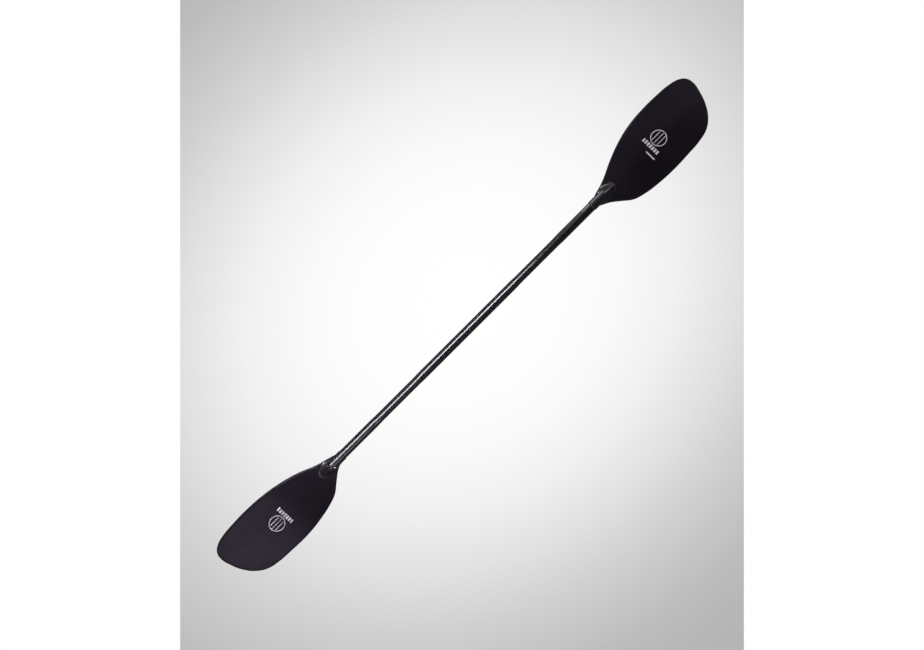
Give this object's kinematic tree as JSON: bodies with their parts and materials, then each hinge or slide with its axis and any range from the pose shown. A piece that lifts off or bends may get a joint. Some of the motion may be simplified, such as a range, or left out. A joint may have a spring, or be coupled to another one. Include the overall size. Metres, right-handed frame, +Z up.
{
  "type": "kayak paddle",
  "caption": "Black carbon whitewater kayak paddle: a tube shaft with oval grip zones and a spooned, feathered foam-core blade at each end.",
  "frame": {"origin": "on the shaft's axis at mid-length, halfway between the blade tips", "axes": "+X along the shaft to the right blade; +Z up, halfway between the normals of the two power faces; +Y across, towards the blades' longer, upper edges"},
  "size_m": [1.97, 0.1958, 0.0685],
  "materials": {
    "shaft_carbon": "satin clear epoxy over braided black carbon fibre",
    "blade_carbon": "satin epoxy over black carbon twill",
    "edge_fibre": "satin resin over tough black polymer rope",
    "foam": "closed-cell foam, matt",
    "glue": "thickened epoxy, matt",
    "resin": "pale glossy resin bead",
    "print": "pale grey ink under the clear coat"
  },
  "bodies": {
    "root": {"shaft_tube": "shaft_carbon", "right_neck": "blade_carbon", "right_power_face": "blade_carbon", "right_back_face": "blade_carbon", "right_foam_core": "foam", "right_edge_rope": "edge_fibre", "right_bond_line": "glue", "right_shaft_bulkhead": "foam", "right_roundel_print": "print", "right_strip_print": "print", "right_vent_plug": "resin", "left_neck": "blade_carbon", "left_power_face": "blade_carbon", "left_back_face": "blade_carbon", "left_foam_core": "foam", "left_edge_rope": "edge_fibre", "left_bond_line": "glue", "left_shaft_bulkhead": "foam", "left_roundel_print": "print", "left_strip_print": "print", "left_vent_plug": "resin", "right_bar_print": "print"}
  },
  "joints": []
}
